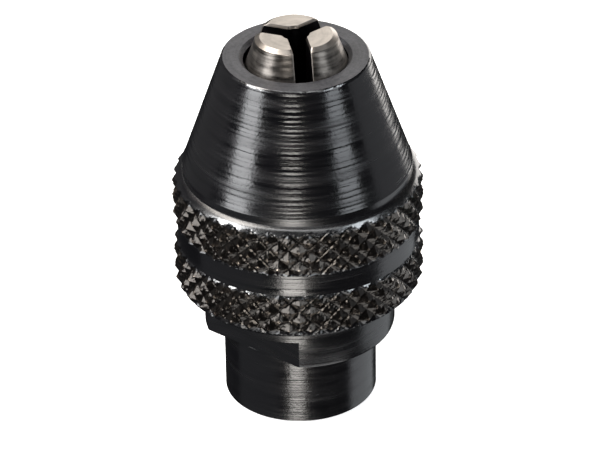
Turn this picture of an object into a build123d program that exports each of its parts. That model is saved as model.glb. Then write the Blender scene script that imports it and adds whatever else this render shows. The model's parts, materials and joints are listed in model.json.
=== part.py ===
from build123d import *
import math
import os

# Keyless three-jaw chuck for a hand-held rotary tool, in millimetres.
# +Z is the chuck's axis, z = 0 is the seating face of the neck, and the drill goes in from above.
# The nose sleeve screws on the spindle body. Its inner cone closes three jaws, which slide on a
# thrust washer, and three small springs between the jaws push them apart again.

# Spindle body: neck, collar with wrench flats, external thread, front boss
neck_radius = 5.18
neck_edge_break = 0.1
collar_radius = 6.48
collar_bottom_z = 5.3
flats_top_z = 7.3
flat_distance = 5.16
flat_direction = 232.0
thread_relief_radius = 6.15
thread_relief_width = 0.3
thread_relief_ramp = 0.2
body_thread_z = 10.9
body_thread_radius = 6.72
body_thread_chamfer = 0.5
boss_z = 14.1
boss_radius = 5.9
boss_edge_break = 0.2
seat_z = 15.2
spigot_radius = 2.3
spigot_height = 0.6
spigot_edge_break = 0.1
spindle_hole_radius = 3.6
spindle_hole_depth = 8.0
shank_hole_radius = 1.8
hole_chamfer = 0.4

# Thrust washer under the jaws
washer_thickness = 1.0
washer_radius = 5.9
washer_clearance = 0.04
washer_edge_break = 0.15

# Nose sleeve, outside
sleeve_bottom_z = 8.8
band_bottom_z = 12.1
band_top_z = 13.65
land_bottom_z = 17.2
land_top_z = 17.75
rim_z = 25.75
knurl_radius = 8.5
band_radius = 8.15
land_radius = 7.7
rim_radius = 4.98
rim_edge_break = 0.14
sleeve_bottom_chamfer = 0.55
ring_foot_height = 0.15

# Nose sleeve, inside
thread_clearance = 0.03
thread_mouth_chamfer = 0.35
thread_top_z = 15.8
thread_runout = 0.25
sleeve_bore_radius = 6.5
mouth_radius = 3.75

# Jaws
jaw_count = 3
jaw_clock = 10.0
cone_half_angle = 20.0
jaw_opening = 0.665
jaw_top_z = 27.42
jaw_top_radius = 2.1
jaw_tail_radius = 4.9
jaw_foot_chamfer = 0.2
jaw_top_bevel = 0.2
jaw_edge_round = 0.12
grip_radius = 0.88
cone_clearance = 0.02

# Springs between the jaws
spring_z = 19.4
spring_reach = 2.9
spring_wire_radius = 0.15
spring_coil_radius = 0.46
spring_turns = 5
pocket_radius = 0.65
pocket_depth = 1.2
spring_end_gap = 0.02

cone_slope = math.tan(math.radians(cone_half_angle))
jaw_seat_z = seat_z + washer_thickness
jaw_step = 360 / jaw_count
jaw_half = jaw_step / 2
jaw_angles = [90 + jaw_clock + jaw_step * index for index in range(jaw_count)]


def around(angle, radius, z=0.0):
    """Point at an angle and a distance from the chuck's axis."""
    turn = math.radians(angle)
    return Vector(radius * math.cos(turn), radius * math.sin(turn), z)


def jaw_cone_radius(z):
    """Radius of a jaw's outer cone, about the jaw's own apex line."""
    return jaw_top_radius + (jaw_top_z - z) * cone_slope


def sleeve_cone_radius(z):
    """Radius of the sleeve's inner cone, with the jaws at their stored opening."""
    return jaw_cone_radius(z) + jaw_opening + cone_clearance


os.makedirs("parts", exist_ok=True)

# --- spindle body -----------------------------------------------------------------------------
hole_cone_height = spindle_hole_radius - shank_hole_radius
spigot_top_z = seat_z + spigot_height
thread_relief_z = body_thread_z - thread_relief_width

with BuildPart() as spindle_body:
    with BuildSketch(Plane.XZ):
        with BuildLine():
            Polyline(
                (spindle_hole_radius + hole_chamfer, 0),
                (neck_radius - neck_edge_break, 0),
                (neck_radius, neck_edge_break),
                (neck_radius, collar_bottom_z),
                (collar_radius, collar_bottom_z),
                (collar_radius, thread_relief_z - thread_relief_ramp),
                (thread_relief_radius, thread_relief_z),
                (thread_relief_radius, body_thread_z),
                (body_thread_radius, body_thread_z + body_thread_chamfer),
                (body_thread_radius, boss_z - body_thread_chamfer),
                (body_thread_radius - body_thread_chamfer, boss_z),
                (boss_radius, boss_z),
                (boss_radius, seat_z - boss_edge_break),
                (boss_radius - boss_edge_break, seat_z),
                (spigot_radius, seat_z),
                (spigot_radius, spigot_top_z - spigot_edge_break),
                (spigot_radius - spigot_edge_break, spigot_top_z),
                (shank_hole_radius, spigot_top_z),
                (shank_hole_radius, spindle_hole_depth + hole_cone_height),
                (spindle_hole_radius, spindle_hole_depth),
                (spindle_hole_radius, hole_chamfer),
                close=True,
            )
        make_face()
    revolve(axis=Axis.Z)
    # Two wrench flats across the collar
    for side in (0, 180):
        flat_plane = Plane(
            origin=around(flat_direction + side, flat_distance, collar_bottom_z),
            z_dir=around(flat_direction + side, 1),
            x_dir=(0, 0, 1),
        )
        with BuildSketch(flat_plane):
            Rectangle(
                flats_top_z - collar_bottom_z,
                2 * collar_radius,
                align=(Align.MIN, Align.CENTER),
            )
        extrude(amount=collar_radius, mode=Mode.SUBTRACT)
spindle_body.part.label = "spindle_body"
export_step(spindle_body.part, "parts/spindle_body.step")

# --- thrust washer ----------------------------------------------------------------------------
with BuildPart() as thrust_washer:
    with BuildSketch(Plane.XY.offset(seat_z)):
        Circle(washer_radius)
        Circle(spigot_radius + washer_clearance, mode=Mode.SUBTRACT)
    extrude(amount=washer_thickness)
    outer_edges = thrust_washer.edges().filter_by(GeomType.CIRCLE).group_by(SortBy.RADIUS)[-1]
    chamfer(outer_edges, washer_edge_break)
thrust_washer.part.label = "thrust_washer"
export_step(thrust_washer.part, "parts/thrust_washer.step")

# --- nose sleeve ------------------------------------------------------------------------------
sleeve_thread_radius = body_thread_radius + thread_clearance
cone_bottom_z = jaw_top_z - (sleeve_bore_radius - sleeve_cone_radius(jaw_top_z)) / cone_slope
# The mouth is countersunk at 45 degrees, so it meets the cone where both radii are equal
mouth_depth = (mouth_radius - sleeve_cone_radius(rim_z)) / (1 + cone_slope)
ring_edge = knurl_radius - band_radius
ring_top_chamfer = knurl_radius - land_radius

with BuildPart() as nose_sleeve:
    with BuildSketch(Plane.XZ):
        with BuildLine():
            Polyline(
                (sleeve_thread_radius + thread_mouth_chamfer, sleeve_bottom_z),
                (knurl_radius - sleeve_bottom_chamfer, sleeve_bottom_z),
                (knurl_radius, sleeve_bottom_z + sleeve_bottom_chamfer),
                (knurl_radius, band_bottom_z - ring_edge),
                (band_radius, band_bottom_z),
                (band_radius, band_top_z),
                (knurl_radius, band_top_z + ring_foot_height),
                (knurl_radius, land_bottom_z - ring_top_chamfer),
                (land_radius, land_bottom_z),
                (land_radius, land_top_z),
                (rim_radius, rim_z - rim_edge_break),
                (rim_radius - rim_edge_break, rim_z),
                (mouth_radius, rim_z),
                (mouth_radius - mouth_depth, rim_z - mouth_depth),
                (sleeve_bore_radius, cone_bottom_z),
                (sleeve_bore_radius, thread_top_z),
                (sleeve_thread_radius, thread_top_z - thread_runout),
                (sleeve_thread_radius, sleeve_bottom_z + thread_mouth_chamfer),
                close=True,
            )
        make_face()
    revolve(axis=Axis.Z)
nose_sleeve.part.label = "nose_sleeve"
export_step(nose_sleeve.part, "parts/nose_sleeve.step")

# --- jaws -------------------------------------------------------------------------------------
tail_top_z = jaw_top_z - (jaw_tail_radius - jaw_top_radius) / cone_slope

for number, jaw_angle in enumerate(jaw_angles, start=1):
    apex = around(jaw_angle, jaw_opening)
    start_plane = Plane(
        origin=apex,
        x_dir=around(jaw_angle - jaw_half, 1),
        z_dir=around(jaw_angle - jaw_half - 90, 1),
    )
    with BuildPart() as jaw:
        # A third of a round, turned about the jaw's own apex line
        with BuildSketch(start_plane):
            with BuildLine():
                Polyline(
                    (0, jaw_seat_z),
                    (jaw_tail_radius - jaw_foot_chamfer, jaw_seat_z),
                    (jaw_tail_radius, jaw_seat_z + jaw_foot_chamfer),
                    (jaw_tail_radius, tail_top_z),
                    (jaw_cone_radius(jaw_top_z - jaw_top_bevel), jaw_top_z - jaw_top_bevel),
                    (jaw_top_radius - jaw_top_bevel, jaw_top_z),
                    (0, jaw_top_z),
                    close=True,
                )
            make_face()
        revolve(axis=Axis(apex, (0, 0, 1)), revolution_arc=jaw_step)
        # Narrow gripping land, ground about the chuck's axis
        with BuildSketch(Plane.XY.offset(jaw_seat_z)):
            Circle(grip_radius)
        extrude(amount=jaw_top_z - jaw_seat_z, mode=Mode.SUBTRACT)
        # Broken edges where the two flats meet the top face
        top_edges = jaw.faces().sort_by(Axis.Z)[-1].edges().filter_by(GeomType.LINE)
        chamfer(top_edges, jaw_edge_round)
        # A blind pocket in each flat for a spring's end
        for side in (-1, 1):
            flat_angle = jaw_angle + side * jaw_half
            pocket_plane = Plane(
                origin=apex + around(flat_angle, spring_reach, spring_z),
                z_dir=around(flat_angle + side * 90, 1),
            )
            with BuildSketch(pocket_plane):
                Circle(pocket_radius)
            extrude(amount=-pocket_depth, mode=Mode.SUBTRACT)
    jaw.part.label = f"jaw_{number}"
    export_step(jaw.part, f"parts/jaw_{number}.step")

# --- springs between the jaws -----------------------------------------------------------------
jaw_gap = 2 * jaw_opening * math.sin(math.radians(jaw_half))
spring_length = jaw_gap + 2 * (pocket_depth - spring_end_gap - spring_wire_radius)
spring_distance = spring_reach + jaw_opening * math.cos(math.radians(jaw_half))
first_slot_angle = jaw_angles[0] + jaw_half
coil_direction = around(first_slot_angle + 90, 1)
coil_centre = around(first_slot_angle, spring_distance, spring_z)

with BuildPart() as first_spring:
    with BuildLine():
        coil = Helix(
            pitch=spring_length / spring_turns,
            height=spring_length,
            radius=spring_coil_radius,
            center=coil_centre - coil_direction * (spring_length / 2),
            direction=coil_direction,
        )
    with BuildSketch(Plane(origin=coil @ 0, z_dir=coil % 0)):
        Circle(spring_wire_radius)
    sweep(path=coil, is_frenet=True)

for number in range(1, jaw_count + 1):
    jaw_spring = first_spring.part.rotate(Axis.Z, jaw_step * (number - 1))
    jaw_spring.label = f"jaw_spring_{number}"
    export_step(jaw_spring, f"parts/jaw_spring_{number}.step")
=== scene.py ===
import json
import math

import bmesh
import bpy
import numpy as np
from mathutils import Matrix, Vector


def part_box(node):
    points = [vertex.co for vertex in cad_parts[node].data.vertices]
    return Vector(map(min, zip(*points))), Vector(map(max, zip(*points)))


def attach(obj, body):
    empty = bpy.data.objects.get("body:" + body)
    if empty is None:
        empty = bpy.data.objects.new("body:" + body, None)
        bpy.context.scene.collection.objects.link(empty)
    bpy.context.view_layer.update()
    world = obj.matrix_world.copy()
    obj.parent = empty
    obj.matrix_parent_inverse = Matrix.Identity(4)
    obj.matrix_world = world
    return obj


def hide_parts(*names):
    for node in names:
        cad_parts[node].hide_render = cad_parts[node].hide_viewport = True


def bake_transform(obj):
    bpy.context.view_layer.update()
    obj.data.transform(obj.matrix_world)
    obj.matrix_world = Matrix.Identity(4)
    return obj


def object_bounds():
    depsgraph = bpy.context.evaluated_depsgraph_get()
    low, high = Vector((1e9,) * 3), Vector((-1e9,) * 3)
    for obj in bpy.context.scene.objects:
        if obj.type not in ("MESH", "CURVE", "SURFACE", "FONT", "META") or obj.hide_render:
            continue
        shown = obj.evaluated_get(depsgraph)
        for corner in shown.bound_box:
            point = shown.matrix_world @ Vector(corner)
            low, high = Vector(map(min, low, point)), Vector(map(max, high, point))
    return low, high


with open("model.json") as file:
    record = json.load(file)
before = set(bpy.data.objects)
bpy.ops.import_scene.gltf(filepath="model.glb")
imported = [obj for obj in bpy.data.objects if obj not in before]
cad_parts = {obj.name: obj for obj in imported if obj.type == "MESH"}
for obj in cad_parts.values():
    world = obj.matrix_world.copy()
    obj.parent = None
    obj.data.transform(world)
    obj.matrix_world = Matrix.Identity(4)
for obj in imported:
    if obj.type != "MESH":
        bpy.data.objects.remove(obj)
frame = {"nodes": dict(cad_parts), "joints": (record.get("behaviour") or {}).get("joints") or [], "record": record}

# A keyless drill chuck, as it looks. Lengths are millimetres until to_mesh() scales them to metres,
# and metres in the materials and the studio.
MM = 0.001
TINY = 1e-6
CAD_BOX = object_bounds()
RANDOM = np.random.default_rng(7)

# ---------------------------------------------------------------------------------------------
# Sizes
# ---------------------------------------------------------------------------------------------


def box_mm(node):
    """Lowest and highest corner of a CAD node, in millimetres."""
    low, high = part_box(node)
    return [value / MM for value in low], [value / MM for value in high]


MOUNTS = {mount["name"]: mount for mount in frame["record"]["mounts"]}
JOINTS = {joint["name"]: joint for joint in frame["joints"]}

# Read from the frame
sleeve_low, sleeve_high = box_mm("nose_sleeve")
jaw_low, jaw_high = box_mm("jaw_1")
washer_low, washer_high = box_mm("thrust_washer")
body_high = box_mm("spindle_body")[1]

KNURL_RADIUS = sleeve_high[0]
SLEEVE_BOTTOM = sleeve_low[2]
RIM = sleeve_high[2]
JAW_BOTTOM = jaw_low[2]
JAW_TOP = jaw_high[2]
SEAT = washer_low[2]
BOSS_RADIUS = washer_high[0]
SPIGOT_TOP = body_high[2]
SPINDLE_MINOR = MOUNTS["spindle_thread"]["dims"]["r_mm"]
GRIP_RADIUS = MOUNTS["jaw_grip"]["dims"]["r_mm"]
SPINDLE_THREAD = MOUNTS["spindle_thread"]["dims"]["length_mm"]
SPRING_Z = JOINTS["spring_1_stretch"]["deforming_nodes"][0]["fixed_end_z_m"] / MM
FLAT_MIDDLE = MOUNTS["wrench_flat_1"]["pos_m"][2] / MM
FLAT_DISTANCE = math.hypot(*MOUNTS["wrench_flat_1"]["pos_m"][:2]) / MM
FLAT_ANGLE = math.atan2(*MOUNTS["wrench_flat_1"]["axis"][1::-1])

# Nose sleeve, from its lower edge up
BOTTOM_CHAMFER = 0.55
BOTTOM_EDGE = 0.02
BOTTOM_FACE = 0.12
LOWER_RING_TOP = SLEEVE_BOTTOM + 3.3
RING_GAP = 0.02
BAND_RADIUS = KNURL_RADIUS - 0.35
UPPER_RING_BOTTOM = LOWER_RING_TOP + 1.55
UPPER_FOOT_SLOPE = 2.3
UPPER_RING_TOP = RIM - 8.55
LAND_RADIUS = KNURL_RADIUS - 0.8
LAND_TOP = UPPER_RING_TOP + 0.55
LAND_STEP = 0.15
LAND_STEP_SLOPE = 2.5
RIM_RADIUS = KNURL_RADIUS - 3.52
RIM_EDGE = 0.14
RIM_EDGE_BULGE = 0.3
NICK_DEPTH = 0.03
MOUTH_RADIUS = RIM_RADIUS - 1.23
BORE_RADIUS = KNURL_RADIUS - 2.0
BORE_ROW = 0.2
THREAD_TOP = SEAT + 0.6
THREAD_END_SLOPE = 1.6
THREAD_MOUTH = 0.1

# Knurl
TEETH_AROUND = 38
TOOTH_STEPS = 16
TOOTH_HEIGHT_PERIOD = 1.36
TOOTH_DEPTH = 0.38
TOOTH_CURVE = 1.25
TOOTH_CHANCE = 0.12
TOOTH_ROUGHNESS = 0.06
TOOTH_ROUGH_HEIGHT = 0.13
TIP_LOWEST = 0.78
TIP_CHANCE = 0.14
KNURL_COLUMNS = TEETH_AROUND * TOOTH_STEPS
PLAIN_COLUMNS = KNURL_COLUMNS // 4
KNURL_ROW_MARGIN = 0.2
CHAMFER_SHOWS = 0.06

# Screw thread between the sleeve and the spindle body. The flats are shares of a pitch.
SCREW_PITCH = 1.0
SCREW_ROOT = KNURL_RADIUS - 2.06
SCREW_HEIGHT = 0.54
SCREW_CLEARANCE = 0.06
ROOT_FLAT = 1 / 4
CREST_FLAT = 1 / 8
SCREW_ROW = SCREW_PITCH / 16

# Spindle body, from the neck up
BODY_COLUMNS = 192
FLAT_CORNER_GAP = 0.008
NECK_RADIUS = KNURL_RADIUS - 3.32
NECK_EDGE = 0.08
NECK_EDGE_HEIGHT = 0.06
COLLAR_RADIUS = KNURL_RADIUS - 2.02
FLAT_HEIGHT = 2.0
FLATS_TOP = FLAT_MIDDLE + FLAT_HEIGHT / 2
COLLAR_BOTTOM = FLAT_MIDDLE - FLAT_HEIGHT / 2
COLLAR_EDGE = 0.03
COLLAR_EDGE_HEIGHT = 0.12
BODY_THREAD_BOTTOM = SEAT - 4.3
BODY_THREAD_TOP = SEAT - 1.1
RELIEF_RADIUS = KNURL_RADIUS - 2.35
RELIEF_WIDTH = 0.3
RELIEF_RAMP = 0.2
BODY_START_SLOPE = 1.2
BODY_END_RADIUS = KNURL_RADIUS - 2.28
BODY_END_SLOPE = 1.1
BOSS_EDGE = 0.2
SPIGOT_RADIUS = BOSS_RADIUS - 3.6
SPIGOT_EDGE = 0.1
SHANK_RADIUS = SPINDLE_MINOR / 2
SPINDLE_PITCH = 0.75
SPINDLE_THREAD_HEIGHT = 0.38
SPINDLE_RUNOUT = 0.5
SPINDLE_RELIEF = 0.4
SPINDLE_DEPTH = SPINDLE_THREAD + SPINDLE_RELIEF
HOLE_CHAMFER = 0.45
HOLE_LIP = 0.01

# Jaws. Each pair of edges holds the radii of a jaw's outer and inner edges.
JAW_NUMBERS = (1, 2, 3)
HALF_JAW = math.pi / 3
CONE_HALF_ANGLE = 20
CONE_SLOPE = math.tan(math.radians(CONE_HALF_ANGLE))
CONE_CLEARANCE = 0.02
JAW_OPENING = 0.665
JAW_TOP_RADIUS = 2.1
JAW_BEVEL = 0.2
JAW_BEVEL_WIDTH = 0.25
JAW_TOP_INSET = 0.08
JAW_TAIL_RADIUS = BOSS_RADIUS - 1.0
JAW_FOOT_BREAK = 0.15
JAW_FOOT_INSET = 0.1
JAW_ROW = 0.05
JAW_MARK = 0.012
JAW_MARK_LENGTH = 0.16
TAIL_START = 0.6
TAIL_ROWS = 8
CONE_START = 0.3
BEVEL_GAP = 0.02
TAIL_EDGES = (0.2, 0.1)
CONE_EDGES = (0.08, 0.12)
BEVEL_EDGES = (0.13, 0.16)
TOP_EDGES = (0.14, 0.18)
LAND_POINTS = 5
TIP_POINTS = 5
FLAT_POINTS = 3
CORNER_POINTS = 6
BACK_POINTS = 29

# Springs and their pockets
SPRING_REACH = 2.9
SPRING_WIRE = 0.15
SPRING_COIL = 0.46
SPRING_TURNS = 5
SPRING_END_GAP = 0.02
CLOSED_TURN = 2.1 * SPRING_WIRE
TURN_POINTS = 32
WIRE_POINTS = 12
POCKET_RADIUS = 0.65
POCKET_DEPTH = 1.2
POCKET_POINTS = 40

# Tool marks. The places keep the noises apart that share one table.
FEED_SHARE = 0.75
FEED_CHANCE = 0.45
FEED_STRIDE = 1.37
FEED_DRIFT = 0.8
DRIFT_LENGTH = 1.7
SCRATCH_PITCH = 0.33
SCRATCH_SWING = 0.6
SCRATCH_TURN = 1.3
FEED_PLACE, DRIFT_PLACE, SCRATCH_PLACE, JAW_PLACE = 5, 11, 40, 50

# Rows closer than this are one row, and edges sharper than these angles are drawn sharp
SAME_ROW = 0.001
BODY_SHARP = 28
SLEEVE_SHARP = 20
JAW_SHARP = 24
SPRING_SHARP = 60

# Places of the looks in each piece's list of materials
TURNED, KNURLED, FACED = 0, 1, 2
MILLED = 1
# The jaws' third look is painted shade: their flats, inside the slots, are coloured near black.
FILMED, BARE, PAINTED_SLOT_SHADE = 0, 1, 2

# Random tables, drawn once and in this order
MARK_CELLS = 997
TOOTH_ROWS = 64
ROUGH_CELLS = 320
ROUGH_ROWS = 211
MARK_TABLE = RANDOM.random(MARK_CELLS)
TOOTH_TABLE = RANDOM.random((2 * TEETH_AROUND, TOOTH_ROWS, 3))
ROUGH_TABLE = RANDOM.random((ROUGH_CELLS, ROUGH_ROWS))

# ---------------------------------------------------------------------------------------------
# Noise and surfaces
# ---------------------------------------------------------------------------------------------


def eased(share):
    """A share from 0 to 1, with a slow start and a slow end."""
    return share * share * (3 - 2 * share)


def smooth_noise(positions, table):
    """Value noise in -1..1 along a line, from a table of random numbers."""
    cell = np.floor(positions).astype(int)
    part = eased(positions - cell)
    low = table[cell % len(table)]
    high = table[(cell + 1) % len(table)]
    return (low + (high - low) * part) * 2 - 1


def noise_at(place):
    """The noise at one place of the line."""
    return smooth_noise(np.array([place]), MARK_TABLE)[0]


def torn_metal(angles, z, height):
    """Value noise over a turned surface in -1..1, with cells of the given height."""
    across = angles * ROUGH_CELLS / math.tau
    up = z / height
    column, row = np.floor(across).astype(int), math.floor(up)
    part, rise = eased(across - column), eased(up - row)
    near, far = column % ROUGH_CELLS, (column + 1) % ROUGH_CELLS
    here, above = row % ROUGH_ROWS, (row + 1) % ROUGH_ROWS
    low = ROUGH_TABLE[near, here] * (1 - part) + ROUGH_TABLE[far, here] * part
    high = ROUGH_TABLE[near, above] * (1 - part) + ROUGH_TABLE[far, above] * part
    return 2 * (low + (high - low) * rise) - 1


def tool_marks(z, angles, depth, pitch):
    """How far a lathe tool's marks sink below the surface: feed grooves and finer scratches."""
    phase = z / pitch + FEED_DRIFT * noise_at(z / DRIFT_LENGTH + DRIFT_PLACE)
    groove = 0.5 - 0.5 * math.cos(math.tau * phase)
    strength = 1 - FEED_CHANCE + FEED_CHANCE * noise_at(math.floor(phase) * FEED_STRIDE + FEED_PLACE)
    swing = SCRATCH_SWING * np.cos(angles + SCRATCH_TURN)
    scratch = smooth_noise(z / (pitch * SCRATCH_PITCH) + swing + SCRATCH_PLACE, MARK_TABLE)
    return depth * (FEED_SHARE * groove * strength + (1 - FEED_SHARE) * (0.5 + 0.5 * scratch))


def nicks(angles, seed):
    """Small dents round the rim's edge: how far each sinks below it."""
    return NICK_DEPTH * (0.5 + 0.5 * torn_metal(angles, seed, 1.0)) ** 2


def knurled_radius(angles, z):
    """The diamond knurl: pyramids between two sets of crossing grooves, each a little different."""
    around = angles * TEETH_AROUND / math.tau
    along = (z - SLEEVE_BOTTOM) / TOOTH_HEIGHT_PERIOD
    first, second = around + along, around - along
    height = np.minimum(1 - np.abs(2 * (first % 1) - 1), 1 - np.abs(2 * (second % 1) - 1))
    column = (np.floor(first) + np.floor(second)).astype(int) % (2 * TEETH_AROUND)
    row = (np.floor(first) - np.floor(second)).astype(int) % TOOTH_ROWS
    chance = TOOTH_TABLE[column, row]
    height = height ** TOOTH_CURVE * (1 - TOOTH_CHANCE + TOOTH_CHANCE * chance[:, 0])
    height = height + TOOTH_ROUGHNESS * torn_metal(angles, z, TOOTH_ROUGH_HEIGHT)
    height = np.clip(height, 0, TIP_LOWEST + TIP_CHANCE * chance[:, 1])
    return KNURL_RADIUS - TOOTH_DEPTH * (1 - height)


def screw_radius(angles, z, root, height, pitch):
    """A right-hand thread's surface: a trapezium that climbs one pitch a turn."""
    share = (z / pitch - angles / math.tau) % 1
    flank = (1 - ROOT_FLAT - CREST_FLAT) / 2
    climb = (0.5 - np.abs(share - 0.5) - ROOT_FLAT / 2) / flank
    return root + height * np.clip(climb, 0, 1)


# ---------------------------------------------------------------------------------------------
# Turned solids
# ---------------------------------------------------------------------------------------------


def to_mesh(name, points, faces, sharp_angle, looks=None):
    """A mesh object from points in millimetres, smooth but for edges sharper than the angle."""
    mesh = bpy.data.meshes.new(name)
    mesh.from_pydata((np.asarray(points) * MM).tolist(), [], faces)
    if looks is not None:
        mesh.polygons.foreach_set("material_index", np.asarray(looks, dtype=np.int32))
    work = bmesh.new()
    work.from_mesh(mesh)
    bmesh.ops.recalc_face_normals(work, faces=work.faces)
    work.to_mesh(mesh)
    work.free()
    mesh.shade_smooth()
    mesh.set_sharp_from_angle(angle=math.radians(sharp_angle))
    mesh.update()
    thing = bpy.data.objects.new(name, mesh)
    bpy.context.scene.collection.objects.link(thing)
    return thing


def ring(z, radius, columns, look=TURNED, knurl_step=None):
    """One row of a turned solid. radius is a number, or a function of the columns' angles and z.
    look holds for the faces up to the next row, and knurl_step is the row's place in the knurl."""
    return {"z": z, "radius": radius, "columns": columns, "look": look, "knurl_step": knurl_step}


def row_points(row):
    """The points of a row. Its columns are a number of even steps, or a list of angles."""
    angles = row["columns"]
    if isinstance(angles, int):
        angles = np.arange(angles) * (math.tau / angles)
    radius = row["radius"](angles, row["z"]) if callable(row["radius"]) else row["radius"]
    radius = np.broadcast_to(radius, angles.shape)
    return np.column_stack((radius * np.cos(angles), radius * np.sin(angles),
                            np.full(angles.shape, row["z"])))


def turned_solid(name, rows, sharp_angle):
    """A closed solid of revolution from rows that run round its section and back to the first."""
    points, kept = [], []
    for row in rows:
        block = row_points(row)
        if kept and block.shape == points[-1].shape and np.allclose(block, points[-1], atol=SAME_ROW):
            # The same row twice would leave faces of no area, so the later one takes its place
            points.pop()
            kept.pop()
        points.append(block)
        kept.append(row)
    starts = np.cumsum([0] + [len(block) for block in points]).tolist()
    faces, looks = [], []
    for index, row in enumerate(kept):
        after = (index + 1) % len(kept)
        new = joined(row, kept[after], starts[index], starts[after],
                     len(points[index]), len(points[after]))
        faces.extend(new)
        looks.extend([row["look"]] * len(new))
    return to_mesh(name, np.vstack(points), faces, sharp_angle, looks)


def joined(low, high, low_start, high_start, low_count, high_count):
    """The faces between two rows of points, which may have different numbers of columns."""
    if low_count != high_count:
        return stepped(low_start, high_start, low_count, high_count)
    knurled = low["knurl_step"] is not None and high["knurl_step"] is not None
    faces = []
    for column in range(low_count):
        beside = (column + 1) % low_count
        cell = (low_start + column, low_start + beside, high_start + beside, high_start + column)
        if knurled:
            faces.extend(knurl_pair(*cell, column + low["knurl_step"]))
        else:
            faces.append(cell)
    return faces


def stepped(low_start, high_start, low_count, high_count):
    """Faces that join a row to one with a whole number of times its columns."""
    few, many = sorted((low_count, high_count))
    few_start, many_start = (low_start, high_start) if few == low_count else (high_start, low_start)
    share = many // few
    faces = []
    for column in range(few):
        fine = [many_start + (column * share + k) % many for k in range(share + 1)]
        faces.append((few_start + column, few_start + (column + 1) % few, *reversed(fine)))
    return faces


def knurl_pair(a, b, c, d, diagonal):
    """Two triangles for a cell of the knurl, split along the groove that crosses it."""
    if (diagonal + 1) % TOOTH_STEPS == 0:
        return [(a, b, d), (b, c, d)]
    return [(a, b, c), (a, c, d)]


def marked(radius, depth, pitch):
    """A row's radius with the tool's marks cut into it."""
    return lambda angles, z: radius - tool_marks(z, angles, depth, pitch)


def stretch(start, end, columns, row, marks=0, pitch=1, look=TURNED):
    """Rows along a straight turned surface, from one (z, radius) of the section to another.
    row is the rows' spacing, marks the depth of the tool's marks and pitch their spacing."""
    count = max(1, round(abs(end[0] - start[0]) / row))
    rows = []
    for index in range(count + 1):
        share = index / count
        z = start[0] + (end[0] - start[0]) * share
        radius = start[1] + (end[1] - start[1]) * share
        depth = 0 if index in (0, count) else marks
        rows.append(ring(z, marked(radius, depth, pitch), columns, look))
    return rows


def knurled_ring(blank, low_z, high_z):
    """Rows for a knurled ring. blank(z) is the ring's turned radius, with its chamfers."""
    row_height = TOOTH_HEIGHT_PERIOD / TOOTH_STEPS
    first = math.ceil((low_z - SLEEVE_BOTTOM) / row_height + KNURL_ROW_MARGIN)
    last = math.floor((high_z - SLEEVE_BOTTOM) / row_height - KNURL_ROW_MARGIN)

    def radius(angles, z):
        return np.minimum(knurled_radius(angles, z), blank(z))

    rows = []
    for step in range(first - 1, last + 2):
        z = min(max(SLEEVE_BOTTOM + step * row_height, low_z), high_z)
        look = TURNED if blank(z) < KNURL_RADIUS - CHAMFER_SHOWS else KNURLED
        rows.append(ring(z, radius, KNURL_COLUMNS, look, knurl_step=step))
    return rows


# ---------------------------------------------------------------------------------------------
# Nose sleeve
# ---------------------------------------------------------------------------------------------


def lower_blank(z):
    """The lower knurled ring before knurling, with a chamfer at each end."""
    foot = KNURL_RADIUS - BOTTOM_CHAMFER + (z - SLEEVE_BOTTOM)
    top = BAND_RADIUS + LOWER_RING_TOP - z
    return min(KNURL_RADIUS, foot, top)


def upper_blank(z):
    """The upper knurled ring before knurling: a steep foot, and a chamfer down to the land."""
    foot = BAND_RADIUS + (z - UPPER_RING_BOTTOM) * UPPER_FOOT_SLOPE
    below = UPPER_RING_TOP - z
    chamfer = min(LAND_RADIUS + LAND_STEP_SLOPE * below, LAND_RADIUS + LAND_STEP + below)
    return min(KNURL_RADIUS, foot, chamfer)


def sleeve_cone_radius(z):
    """Inner cone, against the backs of the jaws."""
    return JAW_TOP_RADIUS + (JAW_TOP - z) * CONE_SLOPE + JAW_OPENING + CONE_CLEARANCE


def sleeve_thread(angles, z):
    """The sleeve's inner thread, with a chamfered mouth below and a run-out above."""
    cut = screw_radius(angles, z, SCREW_ROOT, SCREW_HEIGHT, SCREW_PITCH) + SCREW_CLEARANCE
    mouth = SCREW_ROOT + SCREW_CLEARANCE + SCREW_HEIGHT + THREAD_MOUTH - (z - SLEEVE_BOTTOM)
    end = BORE_RADIUS + THREAD_END_SLOPE * (THREAD_TOP - z)
    return np.minimum(np.maximum(cut, mouth), np.maximum(end, BORE_RADIUS))


def sleeve_outside():
    """Rows of the lower ring, the band, the upper ring, the land and the cone."""
    bottom_radius = KNURL_RADIUS - BOTTOM_CHAMFER
    band = (LOWER_RING_TOP + RING_GAP, BAND_RADIUS), (UPPER_RING_BOTTOM - RING_GAP, BAND_RADIUS)
    land = (UPPER_RING_TOP + RING_GAP, LAND_RADIUS), (LAND_TOP, LAND_RADIUS)
    cone = (LAND_TOP, LAND_RADIUS), (RIM - RIM_EDGE, RIM_RADIUS)
    return [
        ring(SLEEVE_BOTTOM, bottom_radius - BOTTOM_FACE, PLAIN_COLUMNS),
        ring(SLEEVE_BOTTOM, bottom_radius - BOTTOM_EDGE, PLAIN_COLUMNS),
        *knurled_ring(lower_blank, SLEEVE_BOTTOM, LOWER_RING_TOP),
        *stretch(*band, PLAIN_COLUMNS, row=0.04, marks=0.005, pitch=0.17),
        *knurled_ring(upper_blank, UPPER_RING_BOTTOM, UPPER_RING_TOP),
        *stretch(*land, PLAIN_COLUMNS, row=0.05, marks=0.003, pitch=0.2),
        *stretch(*cone, PLAIN_COLUMNS, row=0.055, marks=0.016, pitch=0.32),
    ]


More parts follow.
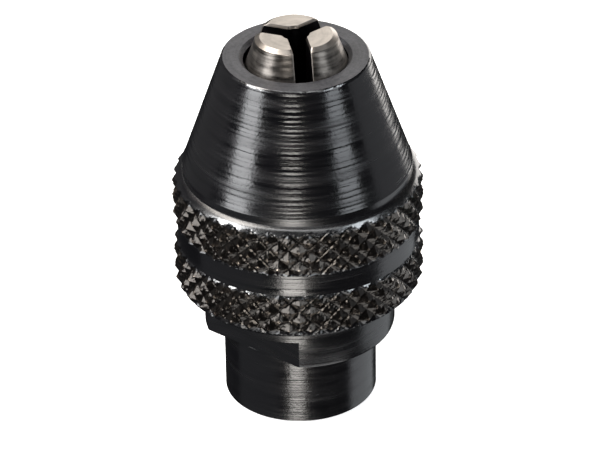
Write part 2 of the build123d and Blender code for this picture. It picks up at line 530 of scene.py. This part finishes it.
def sleeve_rim():
    """Rows of the rim: its nicked edge, its flat face and the countersunk mouth."""
    depth = (MOUTH_RADIUS - sleeve_cone_radius(RIM)) / (1 + CONE_SLOPE)
    edge = RIM_RADIUS - RIM_EDGE_BULGE * RIM_EDGE
    face = RIM_RADIUS - RIM_EDGE
    return [
        ring(RIM - RIM_EDGE / 2, lambda angles, z: edge - nicks(angles, 1), PLAIN_COLUMNS),
        ring(RIM, lambda angles, z: face - nicks(angles, 2), PLAIN_COLUMNS, FACED),
        ring(RIM, MOUTH_RADIUS, PLAIN_COLUMNS, FACED),
        ring(RIM - depth, MOUTH_RADIUS - depth, PLAIN_COLUMNS),
    ]


def sleeve_inside(top):
    """Rows of the inner cone from a height down, and of the thread below it."""
    cone_bottom = JAW_TOP - (BORE_RADIUS - sleeve_cone_radius(JAW_TOP)) / CONE_SLOPE
    cone = (top, sleeve_cone_radius(top)), (cone_bottom, BORE_RADIUS)
    rows = stretch(*cone, PLAIN_COLUMNS, BORE_ROW)
    length = THREAD_TOP - SLEEVE_BOTTOM
    steps = round(length / (2 * SCREW_ROW))
    for step in range(steps + 1):
        rows.append(ring(THREAD_TOP - length * step / steps, sleeve_thread, PLAIN_COLUMNS))
    return rows


def make_sleeve():
    """The black nose sleeve, from its lower edge up to the rim and down again inside."""
    rim = sleeve_rim()
    inside = sleeve_inside(rim[-1]["z"] - BORE_ROW / 2)
    return turned_solid("nose_sleeve_turned", sleeve_outside() + rim + inside, SLEEVE_SHARP)


# ---------------------------------------------------------------------------------------------
# Spindle body
# ---------------------------------------------------------------------------------------------


def body_columns():
    """Evenly spread angles, with the flats' corners in place of the ones close to them."""
    half_flat = math.acos(FLAT_DISTANCE / COLLAR_RADIUS)
    corners = [FLAT_ANGLE + side + edge for side in (0, math.pi) for edge in (-half_flat, half_flat)]
    corners = np.asarray(corners) % math.tau
    even = np.arange(BODY_COLUMNS) * (math.tau / BODY_COLUMNS)
    clear = [angle for angle in even if np.min(np.abs(corners - angle)) > FLAT_CORNER_GAP]
    return np.sort(np.concatenate((clear, corners)))


def with_flats(radius):
    """A row's radius with the two wrench flats cut across it."""
    def cut(angles, z):
        facing = np.abs(np.cos(angles - FLAT_ANGLE))
        return np.minimum(radius, FLAT_DISTANCE / np.maximum(facing, TINY))
    return cut


def body_thread(angles, z):
    """The outer thread, with a chamfer at each end."""
    cut = screw_radius(angles, z, SCREW_ROOT, SCREW_HEIGHT, SCREW_PITCH)
    start = RELIEF_RADIUS + BODY_START_SLOPE * (z - BODY_THREAD_BOTTOM)
    end = BODY_END_RADIUS + BODY_END_SLOPE * (BODY_THREAD_TOP - z)
    return np.minimum(cut, np.minimum(start, end))


def spindle_thread(angles, z):
    """The thread in the neck, with a chamfered mouth below and a run-out above."""
    share = min(1, max(0, (SPINDLE_DEPTH - SPINDLE_RELIEF - z) / SPINDLE_RUNOUT))
    cut = screw_radius(angles, z, SPINDLE_MINOR, SPINDLE_THREAD_HEIGHT * share, SPINDLE_PITCH)
    return np.maximum(cut, SPINDLE_MINOR + HOLE_CHAMFER - z)


def body_outside(columns):
    """Rows of the neck, the collar with its flats, and the outer thread."""
    neck = (NECK_EDGE_HEIGHT, NECK_RADIUS), (COLLAR_BOTTOM, NECK_RADIUS)
    relief_bottom = BODY_THREAD_BOTTOM - RELIEF_WIDTH
    collar = (FLATS_TOP, COLLAR_RADIUS), (relief_bottom - RELIEF_RAMP, COLLAR_RADIUS)
    rows = [
        ring(0, SPINDLE_MINOR + HOLE_CHAMFER + HOLE_LIP, columns),
        ring(0, NECK_RADIUS - NECK_EDGE, columns),
        *stretch(*neck, columns, row=0.04, marks=0.005, pitch=0.19),
        ring(COLLAR_BOTTOM, with_flats(COLLAR_RADIUS - COLLAR_EDGE), columns),
        ring(COLLAR_BOTTOM + COLLAR_EDGE_HEIGHT, with_flats(COLLAR_RADIUS), columns, MILLED),
        ring(FLATS_TOP, with_flats(COLLAR_RADIUS), columns, MILLED),
        *stretch(*collar, columns, row=0.05, marks=0.006, pitch=0.3, look=MILLED),
        ring(relief_bottom, RELIEF_RADIUS, columns),
    ]
    length = BODY_THREAD_TOP - BODY_THREAD_BOTTOM
    steps = round(length / SCREW_ROW)
    for step in range(steps + 1):
        rows.append(ring(BODY_THREAD_BOTTOM + length * step / steps, body_thread, columns))
    return rows


def body_boss(columns):
    """Rows of the front boss and of the spigot that centres the washer."""
    return [
        ring(BODY_THREAD_TOP, BOSS_RADIUS, columns),
        ring(SEAT - BOSS_EDGE, BOSS_RADIUS, columns),
        ring(SEAT, BOSS_RADIUS - BOSS_EDGE, columns),
        ring(SEAT, SPIGOT_RADIUS, columns),
        ring(SPIGOT_TOP - SPIGOT_EDGE, SPIGOT_RADIUS, columns),
        ring(SPIGOT_TOP, SPIGOT_RADIUS - SPIGOT_EDGE, columns),
    ]


def body_inside(columns):
    """Rows of the shank hole and, below it, of the threaded spindle hole."""
    cone_top = SPINDLE_DEPTH + SPINDLE_MINOR - SHANK_RADIUS
    rows = [ring(SPIGOT_TOP, SHANK_RADIUS, columns), ring(cone_top, SHANK_RADIUS, columns)]
    steps = round(SPINDLE_DEPTH / SCREW_ROW)
    for step in range(steps):
        rows.append(ring(SPINDLE_DEPTH * (1 - step / steps), spindle_thread, columns))
    return rows


def make_spindle_body():
    """Neck, collar with two wrench flats, outer thread, boss, and the threaded spindle hole."""
    columns = body_columns()
    rows = body_outside(columns) + body_boss(columns) + body_inside(columns)
    return turned_solid("spindle_body_turned", rows, BODY_SHARP)


# ---------------------------------------------------------------------------------------------
# Jaws
# ---------------------------------------------------------------------------------------------


def unit(angle):
    """A step of length 1 towards an angle, in the plane across the chuck's axis."""
    return np.array([math.cos(angle), math.sin(angle)])


def jaw_land(along, inward, grip, inset, nose):
    """A jaw's gripping land about the chuck's axis, and the round where a flat begins."""
    start = inset * inward + np.array([JAW_OPENING, 0])
    middle = start @ along
    reach = -middle + math.sqrt(middle ** 2 - start @ start + grip ** 2)
    tip = start + reach * along
    tip_angle = math.atan2(tip[1], tip[0])
    land = [grip * unit(angle) - (JAW_OPENING, 0)
            for angle in np.linspace(-tip_angle, tip_angle, LAND_POINTS)]
    before, tip_point = land[-2], land[-1]
    edge = (before - tip_point) / np.linalg.norm(before - tip_point)
    easing = nose * math.tan(math.acos(-(edge @ along)) / 2)
    round_start, round_end = tip_point + easing * edge, tip_point + easing * along
    tip_round = [(1 - s) ** 2 * round_start + 2 * s * (1 - s) * tip_point + s * s * round_end
                 for s in np.linspace(0, 1, TIP_POINTS)]
    return land[1:-1], tip_round


def jaw_outline(outer, grip, inset, corner, nose):
    """A jaw's section at one height, about its apex: land, round, flat, corner and back, and then
    the mirror image of the side. outer is the back's radius, inset how far the flats are ground
    back, and corner and nose the radii of the outer and inner edges."""
    along = unit(HALF_JAW)
    inward = unit(HALF_JAW - math.pi / 2)
    land, tip_round = jaw_land(along, inward, grip, inset, nose)
    run = math.sqrt((outer - inset - corner) ** 2 - (inset + corner) ** 2)
    centre = run * along + (inset + corner) * inward
    flat_start, flat_end = tip_round[-1], run * along + inset * inward
    flat = [flat_start + (flat_end - flat_start) * share
            for share in np.linspace(0, 1, FLAT_POINTS + 2)[1:-1]]
    flat_angle = HALF_JAW + math.pi / 2
    back_angle = math.atan2(centre[1], centre[0])
    turn = [centre + corner * unit(angle)
            for angle in np.linspace(flat_angle, back_angle, CORNER_POINTS)]
    back = [(outer - inset) * unit(angle)
            for angle in np.linspace(back_angle, -back_angle, BACK_POINTS)[1:-1]]
    side = tip_round + flat + turn
    mirrored = [point * (1, -1) for point in reversed(side)]
    return np.array(land + side + back + mirrored)


def jaw_cone_radius(z):
    """A jaw's back above its tail, about its apex."""
    return JAW_TOP_RADIUS + (JAW_TOP - z) * CONE_SLOPE


def jaw_rows():
    """Heights up a jaw, with the section at each: (z, back radius, grip, inset, corner, nose)."""
    rows = [(JAW_BOTTOM, JAW_TAIL_RADIUS - JAW_FOOT_BREAK, GRIP_RADIUS + JAW_FOOT_BREAK,
             JAW_FOOT_INSET, *TAIL_EDGES),
            (JAW_BOTTOM + JAW_FOOT_BREAK, JAW_TAIL_RADIUS, GRIP_RADIUS, 0, *TAIL_EDGES)]
    tail_top = JAW_TOP - (JAW_TAIL_RADIUS - JAW_TOP_RADIUS) / CONE_SLOPE
    for z in np.linspace(JAW_BOTTOM + TAIL_START, tail_top, TAIL_ROWS):
        rows.append((z, JAW_TAIL_RADIUS, GRIP_RADIUS, 0, *TAIL_EDGES))
    bevel_z = JAW_TOP - JAW_BEVEL
    for z in np.arange(tail_top + CONE_START, bevel_z - BEVEL_GAP, JAW_ROW):
        mark = JAW_MARK * (0.5 + 0.5 * noise_at(z / JAW_MARK_LENGTH + JAW_PLACE))
        rows.append((z, jaw_cone_radius(z) - mark, GRIP_RADIUS, 0, *CONE_EDGES))
    rim = jaw_cone_radius(bevel_z)
    rows.append((bevel_z, rim, GRIP_RADIUS, 0, *BEVEL_EDGES))
    rows.append((JAW_TOP, rim - JAW_BEVEL_WIDTH, GRIP_RADIUS + JAW_TOP_INSET, JAW_TOP_INSET, *TOP_EDGES))
    return rows


def jaw_faces(levels, count):
    """A jaw's faces and their looks: bare edges and bevel, a filmed back, and flats coloured near black as painted
    shade of the slots between the jaws.
    """
    corner_start = LAND_POINTS - 2 + TIP_POINTS + FLAT_POINTS
    back_start = corner_start + CORNER_POINTS - 1
    corner = range(corner_start, back_start)
    back = range(back_start, back_start + BACK_POINTS - 1)
    faces, looks = [], []
    for level in range(levels - 1):
        for k in range(count):
            a, b = level * count + k, level * count + (k + 1) % count
            faces.append((a, b, b + count, a + count))
            # The outline is symmetric, and (1 - k) % count is the mirror image of face k
            bare = level == levels - 2 or k in corner or (1 - k) % count in corner
            looks.append(BARE if bare else FILMED if k in back else PAINTED_SLOT_SHADE)
    faces.append(tuple(range(count - 1, -1, -1)))
    faces.append(tuple(range((levels - 1) * count, levels * count)))
    return faces, looks + [FILMED, BARE]


def drill(target, centre, towards, radius, depth):
    """Cuts a round blind hole into a mesh object, from a point on its surface."""
    bpy.ops.mesh.primitive_cylinder_add(vertices=POCKET_POINTS, radius=radius * MM, depth=2 * depth * MM)
    bit = bpy.context.object
    bit.data.materials.append(target.data.materials[0])
    turn = Vector((0, 0, 1)).rotation_difference(Vector(towards)).to_matrix().to_4x4()
    bit.data.transform(Matrix.Translation(Vector(centre) * MM) @ turn)
    cut = target.modifiers.new("pocket", "BOOLEAN")
    cut.operation = "DIFFERENCE"
    cut.solver = "EXACT"
    cut.object = bit
    bpy.context.view_layer.update()
    evaluated = target.evaluated_get(bpy.context.evaluated_depsgraph_get())
    mesh = bpy.data.meshes.new_from_object(evaluated)
    target.modifiers.clear()
    target.data = mesh
    bpy.data.objects.remove(bit)


def jaw_direction(number):
    """The angle at which a jaw stands round the chuck's axis."""
    axis = JOINTS[f"jaw_{number}_slide"]["axis"]
    return math.atan2(axis[1], axis[0])


def make_jaw(number, materials):
    """One jaw: a third of a cone with rounded edges, a gripping land and two spring pockets."""
    angle = jaw_direction(number)
    turn = np.array([unit(angle), unit(angle + math.pi / 2)]).T
    apex = turn @ (JAW_OPENING, 0)
    levels = []
    for z, *shape in jaw_rows():
        section = jaw_outline(*shape) @ turn.T + apex
        levels.append(np.column_stack((section, np.full(len(section), z))))
    faces, looks = jaw_faces(len(levels), len(levels[0]))
    jaw = to_mesh(f"jaw_{number}_ground", np.vstack(levels), faces, JAW_SHARP, looks)
    for material in materials:
        jaw.data.materials.append(material)
    for side in (-1, 1):
        flat_angle = angle + side * HALF_JAW
        centre = (*(apex + SPRING_REACH * unit(flat_angle)), SPRING_Z)
        out = (*unit(flat_angle + side * math.pi / 2), 0)
        drill(jaw, centre, out, POCKET_RADIUS, POCKET_DEPTH)
    jaw.data.shade_smooth()
    jaw.data.set_sharp_from_angle(angle=math.radians(JAW_SHARP))
    return jaw


# ---------------------------------------------------------------------------------------------
# Springs
# ---------------------------------------------------------------------------------------------


def make_spring(number):
    """A compression spring across the slot after a jaw, with closed ends. Also where it ends."""
    slot = jaw_direction(number) + HALF_JAW
    half = JAW_OPENING * math.sin(HALF_JAW) + POCKET_DEPTH - SPRING_END_GAP - SPRING_WIRE
    distance = SPRING_REACH + JAW_OPENING * math.cos(HALF_JAW)
    outward = np.array([*unit(slot), 0])
    across = np.array([*unit(slot + math.pi / 2), 0])
    up = np.array([0, 0, 1])
    middle = distance * outward + SPRING_Z * up
    # The first and last turn lie nearly closed, and the ones between share the rest
    turn_marks = [0, 1, SPRING_TURNS - 1, SPRING_TURNS]
    climb_marks = [0, CLOSED_TURN, 2 * half - CLOSED_TURN, 2 * half]
    total = SPRING_TURNS * TURN_POINTS
    points, faces = [], []
    for step in range(total + 1):
        turns = step / TURN_POINTS
        climb = np.interp(turns, turn_marks, climb_marks)
        radial = math.cos(turns * math.tau) * outward + math.sin(turns * math.tau) * up
        centre = middle + SPRING_COIL * radial + (climb - half) * across
        for side in range(WIRE_POINTS):
            roll = side * math.tau / WIRE_POINTS
            points.append(centre + SPRING_WIRE * (math.cos(roll) * radial + math.sin(roll) * across))
    for step in range(total):
        for side in range(WIRE_POINTS):
            a, b = step * WIRE_POINTS + side, step * WIRE_POINTS + (side + 1) % WIRE_POINTS
            faces.append((a, b, b + WIRE_POINTS, a + WIRE_POINTS))
    faces.append(tuple(range(WIRE_POINTS)))
    faces.append(tuple(range(total * WIRE_POINTS, (total + 1) * WIRE_POINTS)))
    spring = to_mesh(f"jaw_spring_{number}_coil", points, faces, SPRING_SHARP)
    return spring, (middle - half * across) * MM, (middle + half * across) * MM


# ---------------------------------------------------------------------------------------------
# Materials
# ---------------------------------------------------------------------------------------------


class Nodes:
    """A small helper that adds and joins the nodes of one material. It knows each point's place,
    and its radius from the chuck's axis."""

    def __init__(self, name):
        self.material = bpy.data.materials.new(name)
        self.material.use_nodes = True
        self.tree = self.material.node_tree
        self.shader = self.tree.nodes["Principled BSDF"]
        self.place = self.add("ShaderNodeTexCoord").outputs["Object"]
        parts = self.add("ShaderNodeSeparateXYZ")
        self.join(self.place, parts.inputs[0])
        self.x, self.y, self.z = parts.outputs
        squares = [self.math("MULTIPLY", part, part) for part in (self.x, self.y)]
        self.radius = self.math("SQRT", self.math("ADD", *squares))

    def add(self, kind, **settings):
        node = self.tree.nodes.new(kind)
        for key, value in settings.items():
            setattr(node, key, value)
        return node

    def join(self, source, target):
        self.tree.links.new(source, target)

    def math(self, operation, *values):
        node = self.add("ShaderNodeMath", operation=operation)
        for socket, value in zip(node.inputs, values):
            if isinstance(value, (int, float)):
                socket.default_value = value
            else:
                self.join(value, socket)
        return node.outputs[0]

    def mixed(self, first, second, share):
        """The first value's share, and the rest of the second."""
        return self.math("ADD", self.math("MULTIPLY", first, share),
                         self.math("MULTIPLY", second, 1 - share))

    def remap(self, value, span, result):
        """A value over a span, turned into one over another."""
        node = self.add("ShaderNodeMapRange")
        self.join(value, node.inputs["Value"])
        for key, number in zip(("From Min", "From Max", "To Min", "To Max"), (*span, *result)):
            node.inputs[key].default_value = number
        return node.outputs["Result"]

    def ramp(self, value, stops):
        """Colours at places along a value from 0 to 1."""
        node = self.add("ShaderNodeValToRGB")
        elements = node.color_ramp.elements
        while len(elements) < len(stops):
            elements.new(0.5)
        for element, (place, colour) in zip(elements, stops):
            element.position = place
            element.color = (*colour, 1)
        self.join(value, node.inputs["Fac"])
        return node.outputs["Color"]

    def noise(self, vector, scale, detail=3.0, roughness=0.55):
        node = self.add("ShaderNodeTexNoise")
        node.inputs["Scale"].default_value = scale
        node.inputs["Detail"].default_value = detail
        node.inputs["Roughness"].default_value = roughness
        self.join(vector, node.inputs["Vector"])
        return node.outputs["Fac"]

    def grain(self, along, around, across=0.0):
        """A vector that changes slowly round the chuck's axis and quickly along it and across it."""
        safe = self.math("MAXIMUM", self.radius, TINY)
        vector = self.add("ShaderNodeCombineXYZ")
        self.join(self.math("MULTIPLY", self.math("DIVIDE", self.x, safe), around), vector.inputs[0])
        self.join(self.math("MULTIPLY", self.math("DIVIDE", self.y, safe), around), vector.inputs[1])
        lines = self.math("ADD", self.math("MULTIPLY", self.z, along),
                          self.math("MULTIPLY", self.radius, across))
        self.join(lines, vector.inputs[2])
        return vector.outputs[0]

    def colour(self, source):
        self.join(source, self.shader.inputs["Base Color"])

    def roughness(self, source):
        self.join(source, self.shader.inputs["Roughness"])

    def set(self, **values):
        """Sets the shader's own inputs, with _ for a space in a name."""
        for key, value in values.items():
            self.shader.inputs[key.replace("_", " ")].default_value = value

    def bump(self, value, strength, distance):
        node = self.add("ShaderNodeBump")
        node.inputs["Strength"].default_value = strength
        node.inputs["Distance"].default_value = distance
        self.join(value, node.inputs["Height"])
        self.join(node.outputs[0], self.shader.inputs["Normal"])

    def lathe_grain(self, amount):
        """The highlight's stretch across the tool's marks."""
        tangent = self.add("ShaderNodeTangent", direction_type="RADIAL", axis="Z")
        self.join(tangent.outputs[0], self.shader.inputs["Tangent"])
        self.set(Anisotropic=amount)


def black_turned_steel(name, rough_low, rough_high):
    """Black oxide on turned steel: fine rings, streaks and a satin gloss."""
    nodes = Nodes(name)
    streaks = nodes.noise(nodes.grain(along=3600, around=0.7, across=1200), scale=1, roughness=0.65)
    wide = nodes.noise(nodes.grain(along=900, around=1.3, across=300), scale=1, detail=2)
    pits = nodes.noise(nodes.place, scale=5200, detail=2)
    nodes.colour(nodes.ramp(streaks, [(0.3, (0.002, 0.002, 0.003)), (0.7, (0.007, 0.0065, 0.008))]))
    both = nodes.mixed(streaks, wide, share=0.5)
    nodes.roughness(nodes.remap(both, (0.35, 0.65), (rough_low, rough_high)))
    relief = nodes.math("ADD", streaks, nodes.math("MULTIPLY", pits, 0.45))
    nodes.bump(relief, strength=1, distance=0.000015)
    nodes.set(IOR=2.2)
    nodes.lathe_grain(0.35)
    return nodes.material


def black_knurled_steel():
    """The same finish on the rolled teeth, browner in the grooves and rubbed bright at the tips."""
    nodes = Nodes("black_knurled_steel")
    grime = nodes.noise(nodes.place, scale=2200, detail=4, roughness=0.65)
    tips = (KNURL_RADIUS - 0.15) * MM, (KNURL_RADIUS - 0.07) * MM
    rub = nodes.remap(nodes.radius, tips, (0, 1))
    worn = nodes.math("MULTIPLY", rub, nodes.remap(grime, (0.42, 0.6), (0, 1)))
    speck = nodes.remap(grime, (0.56, 0.7), (0, 0.3))
    stops = [(0, (0.003, 0.0022, 0.0018)), (0.3, (0.03, 0.022, 0.017)), (1, (0.7, 0.6, 0.5))]
    nodes.colour(nodes.ramp(nodes.math("MAXIMUM", worn, speck), stops))
    nodes.join(nodes.remap(worn, (0.2, 0.8), (0, 0.9)), nodes.shader.inputs["Metallic"])
    nodes.roughness(nodes.remap(grime, (0.3, 0.7), (0.1, 0.28)))
    relief = nodes.noise(nodes.place, scale=3000, detail=2, roughness=0.5)
    nodes.bump(relief, strength=1, distance=0.000028)
    nodes.set(IOR=1.95, Specular_Tint=(1, 0.92, 0.84, 1))
    return nodes.material


def black_faced_steel():
    """The sleeve's flat rim: faced on the lathe, greyer and more matt."""
    nodes = Nodes("black_faced_steel")
    rings = nodes.noise(nodes.grain(along=0, around=1.2, across=5000), scale=1)
    mottle = nodes.noise(nodes.place, scale=3600, detail=5, roughness=0.75)
    both = nodes.mixed(rings, mottle, share=0.35)
    nodes.colour(nodes.ramp(both, [(0.36, (0.014, 0.014, 0.019)), (0.64, (0.088, 0.087, 0.093))]))
    nodes.roughness(nodes.remap(both, (0.3, 0.7), (0.35, 0.55)))
    nodes.bump(both, strength=1, distance=0.00003)
    return nodes.material


def bare_ground_steel(name, tint, rough_low, rough_high, dark_share=0.7):
    """Bare hardened steel with fine grinding rings and a brownish film."""
    nodes = Nodes(name)
    rings = nodes.noise(nodes.grain(along=3600, around=0.8, across=1500), scale=1, roughness=0.6)
    film = nodes.noise(nodes.place, scale=1800, detail=4, roughness=0.65)
    both = nodes.mixed(rings, film, share=0.7)
    dark = tuple(value * dark_share for value in tint)
    nodes.colour(nodes.ramp(both, [(0.38, dark), (0.6, tint)]))
    nodes.roughness(nodes.remap(both, (0.3, 0.7), (rough_low, rough_high)))
    nodes.bump(both, strength=0.8, distance=0.000012)
    nodes.set(Metallic=1)
    nodes.lathe_grain(0.3)
    return nodes.material


def floor_material():
    """A pale, slightly uneven studio table, with a painted shadow: a dark disc under the neck, where the table can
    be seen through the chuck.
    """
    nodes = Nodes("pale_table")
    tone = nodes.remap(nodes.noise(nodes.place, scale=6, detail=2), (0, 1), (0.96, 1))
    # Painted shadow: the table is coloured near black inside the neck's footprint, fading out towards the neck's
    # edge.
    painted_shadow_fade = (NECK_RADIUS - 1) * MM, (NECK_RADIUS - 0.5) * MM
    outside_painted_shadow = nodes.remap(nodes.radius, painted_shadow_fade, (0, 1))
    stops = [(0, (0.002, 0.002, 0.002)), (1, (0.97, 0.97, 0.97))]
    pale = nodes.ramp(nodes.math("MULTIPLY", tone, outside_painted_shadow), stops)
    nodes.colour(pale)
    nodes.join(pale, nodes.shader.inputs["Emission Color"])
    nodes.set(Emission_Strength=0.9, Roughness=0.9)
    return nodes.material


# ---------------------------------------------------------------------------------------------
# Build the pieces and place them on their bodies
# ---------------------------------------------------------------------------------------------


def dress(piece, materials, nodes, body=None):
    """Gives a piece its materials, hides its CAD nodes in its place, and puts it on its body when one is given."""
    for material in materials:
        piece.data.materials.append(material)
    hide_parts(*nodes)
    if body:
        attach(piece, body)


turned = black_turned_steel("black_turned_steel", 0.1, 0.3)
milled = black_turned_steel("black_milled_steel", 0.18, 0.32)
knurled = black_knurled_steel()
faced = black_faced_steel()
jaw_bare = bare_ground_steel("bare_jaw_steel", (0.54, 0.49, 0.44), 0.26, 0.42)
jaw_filmed = bare_ground_steel("filmed_jaw_steel", (0.46, 0.42, 0.38), 0.24, 0.44, dark_share=0.3)
# The jaws' flats face the slots between the jaws, and their near-black colour is painted shade of those slots.
jaw_flats_painted_shade = bare_ground_steel("dark_jaw_flats", (0.035, 0.033, 0.036), 0.3, 0.5)
washer_steel = bare_ground_steel("ground_washer_steel", (0.56, 0.55, 0.54), 0.22, 0.4)
spring_steel = bare_ground_steel("spring_wire_steel", (0.5, 0.5, 0.52), 0.2, 0.32)

dress(make_sleeve(), [turned, knurled, faced], ["nose_sleeve"], "sleeve")
dress(make_spindle_body(), [turned, milled], ["spindle_body"], "spindle")
for number in JAW_NUMBERS:
    jaw = make_jaw(number, [jaw_filmed, jaw_bare, jaw_flats_painted_shade])
    dress(jaw, [], [f"jaw_{number}"], f"jaw_{number}")
for number in JAW_NUMBERS:
    spring, spring_start, spring_end = make_spring(number)
    dress(spring, [spring_steel], [f"jaw_spring_{number}"])
    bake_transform(spring)
washer = frame["nodes"]["thrust_washer"]
washer.data.materials.clear()
washer.data.materials.append(washer_steel)

# ---------------------------------------------------------------------------------------------
# Studio: lights, floor, camera
# ---------------------------------------------------------------------------------------------
LIGHT_DISTANCE = 0.3
FLOOR_SIZE = 3
FLOOR_GAP = 0.00002
SKY_COLOUR = (0.9, 0.93, 1.0, 1)
SKY_STRENGTH = 0.02

# Name, azimuth and elevation, the angles that it fills across and up seen from the object,
# brightness, colour, and its roll. All angles are in degrees.
LIGHTS = [
    ("front_strip", -6, -16, 18, 40, 4.0, (1.0, 0.96, 0.91), 0),
    ("left_box", -60, 20, 24, 46, 3.0, (0.97, 0.98, 1.0), 0),
    ("left_top", -76, 44, 16, 16, 20.0, (1.0, 1.0, 1.0), 0),
    ("left_high", -115, 62, 40, 18, 7.0, (1.0, 0.94, 0.88), 0),
    ("left_wide", -125, 0, 70, 40, 0.07, (1.0, 1.0, 1.0), 0),
    ("right_box", 57, 26, 22, 52, 1.3, (0.9, 0.95, 1.0), -14),
    ("right_top", 70, 46, 18, 16, 4.2, (0.88, 0.94, 1.0), 0),
    ("right_wide", 125, 0, 90, 40, 0.16, (0.92, 0.95, 1.0), 0),
    ("high_front", -30, 79, 60, 12, 2.4, (1.0, 1.0, 1.0), 0),
    ("back_top", 180, 36, 46, 40, 1.4, (1.0, 0.98, 0.95), 0),
    ("back_right", 150, 0, 40, 30, 2.6, (1.0, 0.96, 0.92), 0),
    ("table_right", 112, -32, 50, 24, 0.5, (0.92, 0.96, 1.0), 0),
    ("table_left", -70, -32, 60, 24, 0.06, (0.92, 0.95, 1.0), 0),
    ("table_front", 20, -66, 50, 30, 0.8, (1.0, 1.0, 1.0), 0),
]


def direction(azimuth, elevation):
    """Unit vector towards a place round the object. Azimuth 0 is the viewer's side, -Y, and a
    positive one is towards +X."""
    turn, rise = math.radians(azimuth), math.radians(elevation)
    return Vector((math.sin(turn) * math.cos(rise), -math.cos(turn) * math.cos(rise), math.sin(rise)))


def facing(towards, roll):
    """The rotation of a lamp or camera that looks back along a direction, with a roll."""
    upright = towards.to_track_quat("Z", "Y").to_matrix().to_4x4()
    return (upright @ Matrix.Rotation(math.radians(roll), 4, "Z")).to_euler()


def softbox(name, azimuth, elevation, wide, tall, brightness, colour, roll):
    """A rectangular light that looks at the middle of the object."""
    lamp = bpy.data.lights.new(name, "AREA")
    lamp.shape = "RECTANGLE"
    lamp.size = 2 * LIGHT_DISTANCE * math.tan(math.radians(wide) / 2)
    lamp.size_y = 2 * LIGHT_DISTANCE * math.tan(math.radians(tall) / 2)
    lamp.energy = brightness * math.pi * lamp.size * lamp.size_y
    lamp.color = colour
    holder = bpy.data.objects.new(name, lamp)
    towards = direction(azimuth, elevation)
    centre = Vector((0, 0, (CAD_BOX[0][2] + CAD_BOX[1][2]) / 2))
    holder.location = centre + towards * LIGHT_DISTANCE
    holder.rotation_euler = facing(towards, roll)
    holder.visible_camera = False
    bpy.context.scene.collection.objects.link(holder)


for light in LIGHTS:
    softbox(*light)

# The floor is a backdrop only: it takes no part in reflections, shadows or bounced light
bpy.ops.mesh.primitive_plane_add(size=FLOOR_SIZE)
floor = bpy.context.object
floor.name = "floor"
floor.location.z = CAD_BOX[0][2] - FLOOR_GAP
floor.data.materials.append(floor_material())
floor.visible_glossy = False
floor.visible_shadow = False
floor.visible_diffuse = False

world = bpy.data.worlds.new("studio")
bpy.context.scene.world = world
world.use_nodes = True
world.node_tree.nodes["Background"].inputs["Color"].default_value = SKY_COLOUR
world.node_tree.nodes["Background"].inputs["Strength"].default_value = SKY_STRENGTH

# The camera is fitted to the photograph. Its lens is in pixels and its sensor in millimetres.
CAMERA_ELEVATION = 32.0
CAMERA_DISTANCE = 0.2777
CAMERA_ROLL = -0.9
LENS_PIXELS = 4115
IMAGE_WIDTH = 610
SENSOR_WIDTH = 36
AIM = Vector((0.000440, 0, 0.01254))

camera_data = bpy.data.cameras.new("camera")
camera_data.sensor_width = SENSOR_WIDTH
camera_data.lens = LENS_PIXELS / IMAGE_WIDTH * SENSOR_WIDTH
camera = bpy.data.objects.new("camera", camera_data)
bpy.context.scene.collection.objects.link(camera)
sight = direction(0, CAMERA_ELEVATION)
camera.location = AIM + sight * CAMERA_DISTANCE
camera.rotation_euler = facing(sight, CAMERA_ROLL)
bpy.context.scene.camera = camera
bpy.context.scene.view_settings.view_transform = "Standard"
